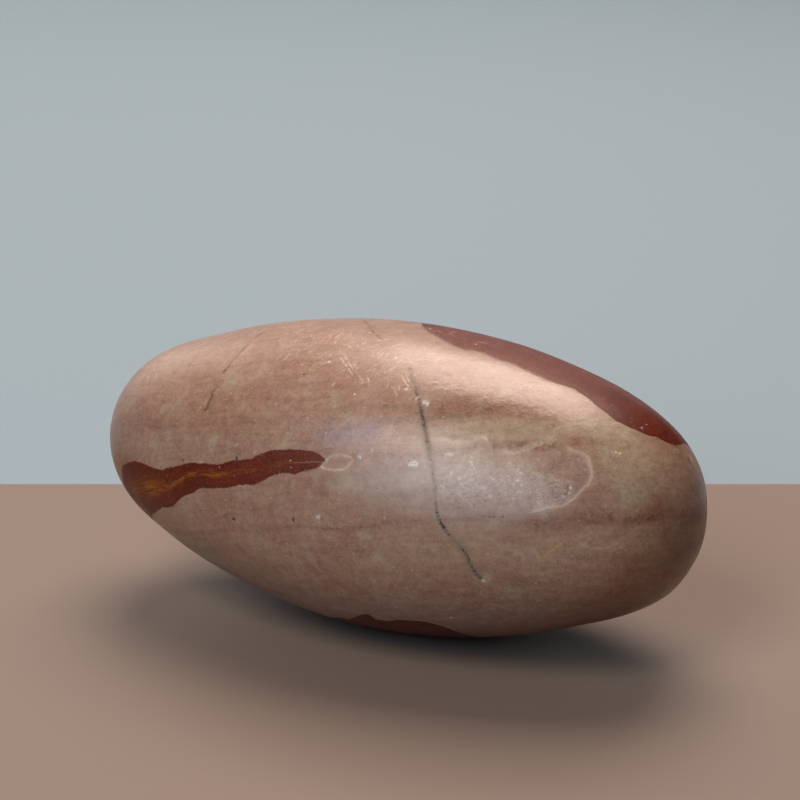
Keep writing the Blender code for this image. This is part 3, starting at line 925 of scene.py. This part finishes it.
uneven = calc("ADD", calc("MULTIPLY", clouds(1.5, 3), 0.5), calc("MULTIPLY", sand, 0.16))
crinkled = calc("MAXIMUM", calc("MULTIPLY", buffed_amount, 1.1), calc("MULTIPLY", mark("chalky"), 2.2))
uneven = calc("ADD", uneven, calc("MULTIPLY", clouds(1.1, 2), crinkled))
uneven = calc("ADD", uneven, calc("MULTIPLY", clouds(2.4, 2), calc("MULTIPLY", buffed_amount, 1.7)))
bump = wire("ShaderNodeBump", {"Height": uneven, "Distance": FINE_HEIGHT, "Strength": 1.0})
tree.links.new(bump.outputs[0], surface.inputs["Normal"])

# ---------------------------------------------------------------------------------------------
# Floor and backdrop: a plain pale board under the stone, and a plain cool pale sweep that lies
# level beyond it and fills the upper part of the picture.
BOARD_FAR_EDGE = 0.087
BOARD_COLOUR = (0.195, 0.146, 0.118, 1)
SWEEP_COLOUR = (0.24, 0.325, 0.38, 1)
FLOOR_REACH = 4.0


def plain_sheet(name, near_edge, far_edge, colour, roughness):
    """A level sheet square to the camera. Its edges are that far beyond the origin."""
    sheet = bmesh.new()
    bmesh.ops.create_grid(sheet, x_segments=1, y_segments=1, size=1)
    bmesh.ops.scale(sheet, verts=sheet.verts, vec=(FLOOR_REACH, (far_edge - near_edge) / 2, 1))
    bmesh.ops.translate(sheet, verts=sheet.verts, vec=(0, (far_edge + near_edge) / 2, 0))
    bmesh.ops.rotate(sheet, verts=sheet.verts, matrix=Matrix.Rotation(VIEW_TURN, 3, "Z"))
    mesh = bpy.data.meshes.new(name)
    sheet.to_mesh(mesh)
    sheet.free()
    paint = bpy.data.materials.new(name)
    paint.use_nodes = True
    coat = paint.node_tree.nodes["Principled BSDF"]
    coat.inputs["Base Color"].default_value = colour
    coat.inputs["Roughness"].default_value = roughness
    mesh.materials.append(paint)
    thing = bpy.data.objects.new(name, mesh)
    bpy.context.scene.collection.objects.link(thing)


plain_sheet("board", -FLOOR_REACH, BOARD_FAR_EDGE, BOARD_COLOUR, 0.6)
plain_sheet("sweep", BOARD_FAR_EDGE, FLOOR_REACH, SWEEP_COLOUR, 0.8)

# ---------------------------------------------------------------------------------------------
# Light: two soft boxes in front and above, a large warm one high behind the stone, and a small warm
# box and a wide cool panel low behind it on the left.
ROOM_GLOW = 0.018
ROOM_COLOUR = (0.80, 0.95, 1.0, 1)
BOX_DISTANCE = 1.2


def soft_box(name, azimuth, elevation, width, height, power, colour):
    """A soft box facing the stone. Azimuth 0 is in front of the stone and 90 off its blunt end."""
    light = bpy.data.lights.new(name, "AREA")
    light.shape = "RECTANGLE"
    light.size = width
    light.size_y = height
    light.energy = power
    light.color = colour
    box = bpy.data.objects.new(name, light)
    bpy.context.scene.collection.objects.link(box)
    turn, lift = math.radians(azimuth), math.radians(elevation)
    level = math.cos(lift)
    towards = Vector((math.sin(turn) * level, -math.cos(turn) * level, math.sin(lift)))
    box.location = STONE_MIDDLE + BOX_DISTANCE * towards
    box.rotation_euler = towards.to_track_quat("Z", "Y").to_euler()


soft_box("upper_box", -10, 50, 0.50, 0.50, 8.1, (1.0, 0.90, 0.82))
soft_box("front_box", 0, 29, 0.50, 0.40, 4.6, (0.64, 0.80, 1.0))
soft_box("back_box", 195, 60, 0.82, 0.82, 16.7, (1.0, 0.80, 0.69))
soft_box("low_box", 240, 25, 0.50, 0.60, 1.9, (1.0, 0.82, 0.70))
soft_box("glow_panel", 225, 10, 2.2, 0.9, 3.1, (0.86, 0.95, 0.98))

room = bpy.data.worlds.new("room")
room.use_nodes = True
room_glow = room.node_tree.nodes["Background"]
room_glow.inputs["Color"].default_value = ROOM_COLOUR
room_glow.inputs["Strength"].default_value = ROOM_GLOW
bpy.context.scene.world = room
bpy.context.scene.view_settings.view_transform = "Standard"
